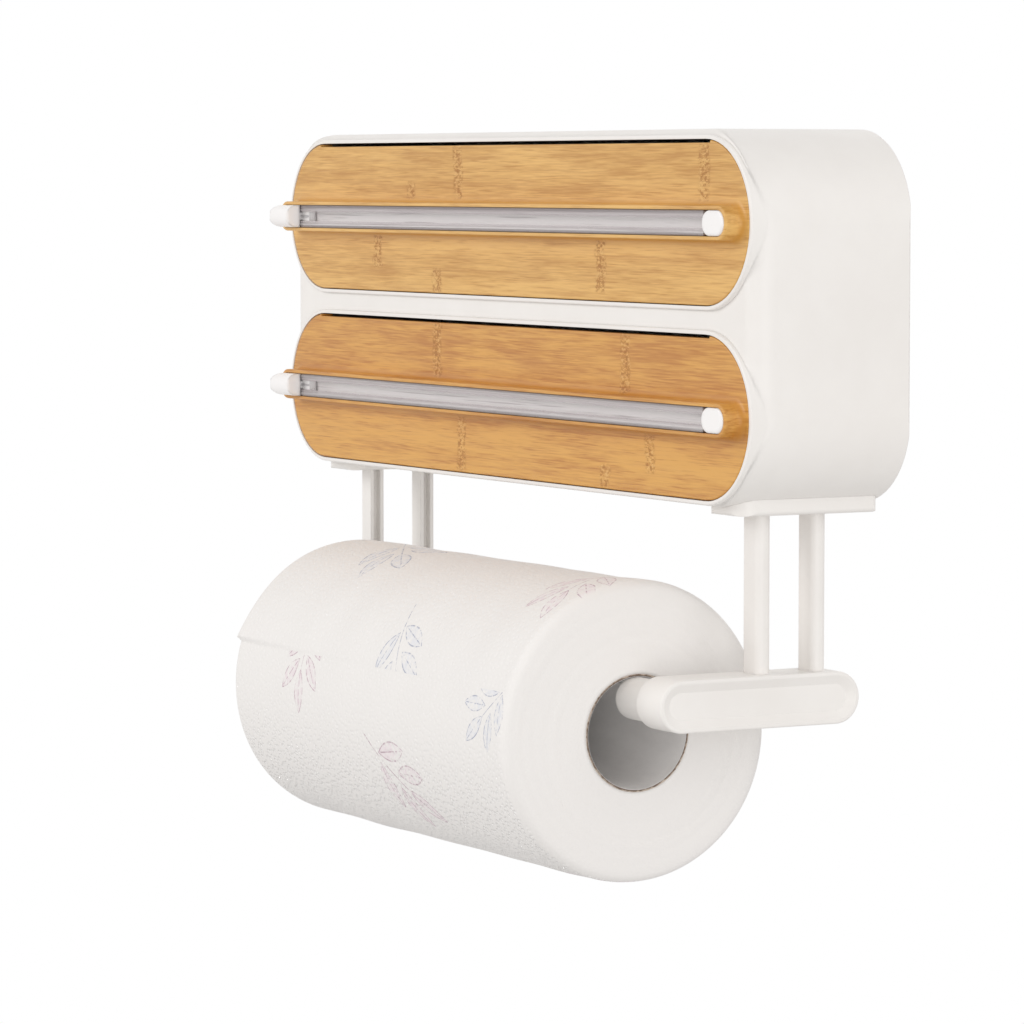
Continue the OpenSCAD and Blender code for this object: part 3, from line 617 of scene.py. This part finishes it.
def roll_profile(ends, radii, edge, face, along):
    """X, share and side of each point of a roll's profile.

    share runs from 0 at the bore to 1 at the outside. Each end climbs its face in a straight line and
    then turns a quarter circle of radius edge. side is -1 and 1 on the faces, 0 between them.
    """
    corner = np.linspace(0, np.pi / 2, CORNER_STEPS)[1:-1]
    depth = edge / (radii[1] - radii[0])
    climb = np.linspace(0, 1, face)[:-1] * (1 - depth)
    rise = np.concatenate([climb, 1 - depth + depth * np.sin(corner)])
    inward = np.concatenate([np.zeros(face - 1), edge * (1 - np.cos(corner))])
    span = np.linspace(ends[0] + edge, ends[1] - edge, along)
    x = np.concatenate([ends[0] + inward, span, ends[1] - inward[::-1]])
    share = np.concatenate([rise, np.ones(along), rise[::-1]])
    side = np.concatenate([-np.ones(face - 1), np.zeros(2 * len(corner) + along), np.ones(face - 1)])
    return x, share, side


print("points on a sample profile:", len(roll_profile((0, 0.2), (0.02, 0.05), 0.004, 22, 190)[0]))

# %% The surface of a roll
LIFT_FROM = 0.90
LIFT_LEFTWARD = 9
PRESSED = 0.2
# Waves per metre: slow ones along the roll, fine and broad ones up its faces.
SLOW_WAVES, FINE_TURNS, BROAD_TURNS = 40, 5200, 1400


def roll_surface(axis, ends, radii, layer, loose_at, lift, soft, edge, counts):
    """X, Y, Z and share of a turn since the loose edge, as grids over angle and profile.

    The outer radius is the plain one, plus the spiral, one layer per turn that ends at the loose edge
    and is pressed flat to the right, plus the lift of that edge, a cubic over its last stretch and
    strongest at the left end, plus slow waves. A point's own radius lies between the bore and that by
    its share. Face points stand out by waves of the radius, as turns that are not quite level.
    counts holds the points round the axis, up a face and along the outside.
    """
    turns, face, along = counts
    bore, outer = radii
    x, share, side = roll_profile(ends, radii, edge, face, along)
    theta, row = np.meshgrid(2 * np.pi * np.arange(turns) / turns, np.arange(len(x)), indexing="ij")
    x, share, side = x[row], share[row], side[row]
    since = np.mod(theta - loose_at, 2 * np.pi) / (2 * np.pi)
    to_left = np.clip((ends[1] - x) / (ends[1] - ends[0]), 0, 1)
    spiral = layer * (since - 0.5) * (PRESSED + (1 - PRESSED) * to_left)
    lifted = lift * np.clip((since - LIFT_FROM) / (1 - LIFT_FROM), 0, 1) ** 3 * to_left ** LIFT_LEFTWARD
    slow = soft * waves(theta, x * SLOW_WAVES, count=7, lowest=1, highest=5, seed=11)
    r = bore + share * (outer + spiral + lifted + slow - bore)
    ripple = waves(theta, r * FINE_TURNS, count=5, lowest=1, highest=3, seed=5) * 0.5
    ripple = ripple + waves(theta, r * BROAD_TURNS, count=4, lowest=1, highest=3, seed=9)
    x = x + side * soft * 0.6 * ripple * np.sin(np.pi * np.clip(share, 0, 1)) ** 0.5
    return x, axis[0] + r * np.cos(theta), axis[1] + r * np.sin(theta), since


print("the loose edge lifts over the last", round(360 * (1 - LIFT_FROM)), "degrees")

# %% The mesh of a roll
WRAP_UV = "wrap"


def wound_roll(name, axis, ends, radii, **winding):
    """A roll's object. Neighbours on the grid make the quads, and the grid closes both ways.

    The uv map holds arc length from the loose edge and X, in metres. In a quad that crosses the loose
    edge, the corners past it count on from a whole turn.
    """
    x, y, z, since = roll_surface(axis, ends, radii, **winding)
    index = np.arange(x.size).reshape(x.shape)
    above = np.roll(index, -1, 1)
    quads = np.stack([index, above, np.roll(above, -1, 0), np.roll(index, -1, 0)], -1).reshape(-1, 4)
    mesh = bpy.data.meshes.new(name)
    mesh.from_pydata(np.stack([x, y, z], -1).reshape(-1, 3).tolist(), [], quads.tolist())
    mesh.polygons.foreach_set("use_smooth", np.ones(len(quads), bool))
    whole = 2 * np.pi * radii[1]
    arc = (since * whole).reshape(-1)[quads]
    crosses = np.ptp(arc, axis=1) > whole / 2
    arc[crosses] += np.where(arc[crosses] < whole / 2, whole, 0)
    flat = np.stack([arc, x.reshape(-1)[quads]], -1)
    mesh.uv_layers.new(name=WRAP_UV).data.foreach_set("uv", flat.astype(np.float32).ravel())
    made = bpy.data.objects.new(name, mesh)
    bpy.context.scene.collection.objects.link(made)
    r = np.hypot(y - axis[0], z - axis[1])
    print(name, "faces:", len(quads), "radius:", round(float(r.min()), 5), round(float(r.max()), 5))
    return made


print("uv map:", WRAP_UV)

# %% [markdown]
# ## Towel roll
# Kitchen paper is soft, so the roll has round shoulders, uneven turns and a loose edge that lifts a
# little at the left. Cloth simulation could make the lift, but a cubic in the roll's radius gives it
# exactly where it belongs and the same in every run.

# %% Wind the towel roll
low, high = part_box("towel_roll")
core_low, core_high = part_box("towel_core")
TOWEL_AXIS = axis_of("towel_spin")
TOWEL_R = (high.z - low.z) / 2
TOWEL_MID, TOWEL_HALF = (low.x + high.x) / 2, (high.x - low.x) / 2
TOWEL_RADII = ((core_high.z - core_low.z) / 2 + 0.05 * MM, TOWEL_R - 0.6 * MM)
towel = wound_roll("towel_paper", TOWEL_AXIS, (low.x, high.x), TOWEL_RADII, layer=0.35 * MM,
                   loose_at=math.radians(161), lift=2.1 * MM, soft=0.22 * MM, edge=4.5 * MM,
                   counts=(340, 22, 190))
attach(towel, "towels")
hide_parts("towel_roll")
print("towel roll:", round(2 * TOWEL_HALF / MM), "mm long,", round(2 * TOWEL_R / MM), "mm across")

# %% [markdown]
# ## Emboss
# The paper is embossed all over with small raised dots in slanting rows. On the upper side of the roll
# the dots are fainter in tone and height, as painted light that washes them out, and on its lower side
# they stand higher on a ground painted a shade darker. A dot is too fine for the mesh, so it is a height
# in the finish: uneven cells on the roll's own flat coordinates, turned by 45 degrees, that rise towards
# each cell's point.

# %% Emboss the paper
DOT_MM = 2.3
FACE_FADE_MM = (1.5, 4)

paper_finish, surface, at = new_finish("kitchen_paper", Roughness=0.95, Specular_IOR_Level=0.15,
                                       Sheen_Weight=0.15)
flat = at.node("ShaderNodeUVMap", {"uv_map": WRAP_UV})
u, v = flat.axes()[:2]
slant = u.node("ShaderNodeCombineXYZ", None, {0: u + v, 1: u - v})
dots = flat.node("ShaderNodeTexVoronoi", {"voronoi_dimensions": "2D"},
                 {"Vector": slant, "Scale": 0.7 / (DOT_MM * MM), "Randomness": 0.9})
along, deep, up = at.axes()
outside = abs(along - TOWEL_MID).step(*[TOWEL_HALF - fade * MM for fade in FACE_FADE_MM])
# Painted light and shade: 0 on the lit upper side of the roll, 1 on its lower side, which gets a darker ground and
# deeper dots.
shaded_underside = ((up - TOWEL_AXIS[1]) / TOWEL_R).step(0.1, -0.75)
emboss = dots.step(0.4, 0.08) * outside * (shaded_underside * 1.1 + 0.35)
print("dots:", DOT_MM, "mm apart")

# %% [markdown]
# ## Printed sprigs
# A sparse print of pale leaf sprigs, in two inks by turns, sits on the paper. A sprig is a stem with
# a few leaves. It could be an image, but a leaf is a simple formula: two parabolas that meet at its
# tips. The flat paper is cut into staggered cells, and one chance per cell shifts, scales and turns
# its sprig.

# %% Draw the sprigs
SPRIG_U_MM, SPRIG_V_MM = 92, 70
SHIFT_U_MM, SHIFT_V_MM = 18, 9
LEAN = 2.4
# Each leaf: place across and along the stem in millimetres, turn in degrees.
LEAVES = [(0.0, 14.5, 0.0), (7.8, 7.0, -42.0), (-7.8, 8.8, 42.0), (7.0, -3.6, -48.0), (-7.2, -1.8, 48.0)]
LEAF_LONG_MM, LEAF_WIDE_MM = 7.8, 2.9
STEM_FOOT_MM, STEM_TIP_MM = -19, 9


def sprig_cells(u, v):
    """Place across and along a sprig's stem in millimetres, and 1 in every other cell.

    A cell's number is the whole part of its stretched place. What is left, moved by the cell's chance
    and turned by its lean, is the place.
    """
    tall = v / (SPRIG_V_MM * MM)
    row = tall.floor()
    wide = u / (SPRIG_U_MM * MM) + row * 0.5
    cell = wide.floor()
    chance = cell.node("ShaderNodeTexWhiteNoise", {"noise_dimensions": "2D"},
                       {"Vector": cell.node("ShaderNodeCombineXYZ", None, {0: cell, 1: row})})
    size = 1.2 - chance * 0.45
    local_u = ((wide - cell - 0.5) * SPRIG_U_MM + (chance - 0.5) * SHIFT_U_MM) * size
    local_v = ((tall - row - 0.5) * SPRIG_V_MM + (chance - 0.5) * SHIFT_V_MM) * size
    lean = (chance - 0.5) * LEAN
    c, s = lean.maths("COSINE", lean), lean.maths("SINE", lean)
    return local_v * c - local_u * s, local_v * s + local_u * c, ((cell + row) * 0.5).fract().step(0.2, 0.3)


def sprig_masks(a, b):
    """Fill and line of a sprig. A leaf is where the distance across it is less than its width times
    1 less the square of its length. Its line is that border and a vein along its middle. Widths of
    lines are in millimetres."""
    stem = b.step(STEM_FOOT_MM, STEM_FOOT_MM + 1) * b.step(STEM_TIP_MM, STEM_TIP_MM - 1)
    fills, lines = [], [abs(a).step(0.3, 0.12) * stem]
    for place_a, place_b, turn in LEAVES:
        c, s = math.cos(math.radians(turn)), math.sin(math.radians(turn))
        across = (a - place_a) * c + (b - place_b) * s
        bow = (((b - place_b) * c - (a - place_a) * s) / LEAF_LONG_MM) ** 2.0
        border = abs(across) - (1 - bow) * LEAF_WIDE_MM
        fills.append(border.step(0.15, -0.15))
        lines.append(abs(border).step(0.34, 0.12) * bow.step(1.15, 1.0))
        lines.append(abs(across).step(0.26, 0.1) * bow.step(0.8, 0.6))
    return functools.reduce(Wire.larger, fills), functools.reduce(Wire.larger, lines)


across_stem, along_stem, bluish = sprig_cells(u, v)
fill, line = sprig_masks(across_stem, along_stem)
print("sprig leaves:", len(LEAVES))

# %% [markdown]
# ## Paper
# Tissue is a felt of short fibres. Its tone swells slowly, its surface is fluffy, the dots are paler
# than the ground between them, and the ink is worn where the felt is coarse. So the colours are laid
# over each other in that order, and one height carries fluff, swell and dots.

# %% Print the paper
# The ground is painted lighter on the upper side of the roll and a shade darker on its lower side.
GROUND_PAINTED_LIT, GROUND_PAINTED_SHADE = rgb(0.87, 0.848, 0.829), rgb(0.855, 0.83, 0.811)
FLUFF_LOW, FLUFF_HIGH = rgb(0.88, 0.856, 0.834), rgb(0.918, 0.896, 0.876)
DOT_TONE = rgb(0.97, 0.95, 0.937)
INK_RED, INK_BLUE = rgb(0.46, 0.31, 0.37), rgb(0.33, 0.36, 0.47)
WASH_RED, WASH_BLUE = rgb(0.84, 0.735, 0.77), rgb(0.78, 0.79, 0.835)
DOT_HEIGHT_MM = 0.3

fluff = at.noise(scale=900, detail=3, rough=0.6)
swell = at.noise(scale=60)
worn = at.noise(scale=420, detail=3, rough=0.7).step(0.36, 0.62) * outside
# Painted shade: the ground darkens towards the lower side of the roll, under the paler dots.
raised = (emboss * 0.9).blend(shaded_underside.blend(GROUND_PAINTED_LIT, GROUND_PAINTED_SHADE), DOT_TONE)
paper = (fluff * 0.4).blend(raised, swell.blend(FLUFF_LOW, FLUFF_HIGH))
washed = (fill * worn * 0.75).blend(paper, bluish.blend(WASH_RED, WASH_BLUE))
feed(surface,
     Base_Color=(line * worn * 0.8).blend(washed, bluish.blend(INK_RED, INK_BLUE)),
     Normal=(fluff * 0.5 + swell * 0.8 + emboss * 1.25).bump(DOT_HEIGHT_MM * MM, 0.8))
towel.data.materials.append(paper_finish)
print("paper nodes:", len(paper_finish.node_tree.nodes))

# %% [markdown]
# ## Film and foil rolls
# Both wrap rolls sit inside their drawers and show once a drawer is open. They are wound as the
# towels are, only tighter and thinner, so the same function makes them with smaller numbers.

# %% Wind the wrap rolls
# Each wrap roll: piece, node it replaces, core, body, joint, slot.
WRAP_ROLLS = [
    ("film_wrap", "film_roll", "film_core", "film", "film_spin", "film"),
    ("foil_wrap", "foil_roll", "foil_core", "foil", "foil_spin", "foil"),
]
wraps = {}
for piece, node, core, body, joint, slot in WRAP_ROLLS:
    low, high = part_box(node)
    core_low, core_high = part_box(core)
    wrap_radii = ((core_high.z - core_low.z) / 2 + 0.03 * MM, (high.z - low.z) / 2 - 0.2 * MM)
    wraps[body] = wound_roll(piece, axis_of(joint), (low.x, high.x), wrap_radii, layer=0.06 * MM,
                             loose_at=math.radians(120), lift=0.2 * MM, soft=0.03 * MM, edge=0.3 * MM,
                             counts=(160, 12, 60))
    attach(wraps[body], body)
    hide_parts(node)
print("wrap rolls:", list(wraps))

# %% [markdown]
# ## Film and foil
# Wound film looks like pale glossy ice, because every layer mirrors a little light. Layers of glass
# would be slow, so a part of the light passes and the rest is painted into the colour as pale reflections
# in bands. Wound foil is bright metal with fine creases across and hairlines round it, both from
# stretched noise.

# %% Finish the film and the foil
film_finish, surface, at = new_finish("wound_film", IOR=1.5, Coat_Weight=0.5, Coat_Roughness=0.08,
                                      Transmission_Weight=0.25)
band = at.scaled(900, 40, 40).noise(detail=3)
cloud = at.noise(scale=60, detail=3)
# Painted reflections: pale bands of colour stand in for the light mirrored by the layers.
painted_reflection = (band * 0.5 + cloud * 0.5).step(0.35, 0.65)
feed(surface,
     Base_Color=painted_reflection.blend(rgb(0.70, 0.76, 0.80), rgb(0.86, 0.89, 0.91)),
     Roughness=0.12 + band * 0.2,
     Normal=band.bump(0.06 * MM, 0.4))
wraps["film"].data.materials.append(film_finish)

foil_finish, surface, at = new_finish("wound_foil", Metallic=1.0)
crease = at.scaled(40, 300, 300).noise(detail=4, rough=0.65)
hair = at.scaled(1400, 60, 60).noise()
feed(surface,
     Base_Color=crease.blend(rgb(0.68, 0.685, 0.69), rgb(0.84, 0.845, 0.85)),
     Roughness=0.2 + hair * 0.22,
     Normal=(crease * 0.7 + hair * 0.3).bump(0.2 * MM, 0.5))
wraps["foil"].data.materials.append(foil_finish)
print("wrap finishes:", film_finish.name, foil_finish.name)

# %% [markdown]
# ## Hand the finishes out
# Each solid keeps its shape and takes one finish. Clicking through thirty pieces is slow and easy to
# get wrong, so two tables do it: a piece with a finish of its own is looked up by its name, and any
# other by the slot of its material. The plain rolls are hidden and get none.

# %% Dress the solids
SLOT_FINISH = {"white_abs": warm_white, "steel": steel_finish}
NODE_FINISH = {
    "shell": shell_white, "upper_panel": upper_bamboo, "lower_panel": lower_bamboo,
    "upper_slider": cutter_white, "lower_slider": cutter_white,
    "upper_end_cap": cutter_white, "lower_end_cap": cutter_white,
    **track_finishes, **board_finishes,
}
dressed = 0
for part in frame["record"]["subparts"]:
    finish = NODE_FINISH.get(part["node"], SLOT_FINISH.get(part["material_slot"]))
    if finish is not None:
        nodes[part["node"]].data.materials.clear()
        nodes[part["node"]].data.materials.append(finish)
        dressed += 1
print("dressed solids:", dressed)

# %% [markdown]
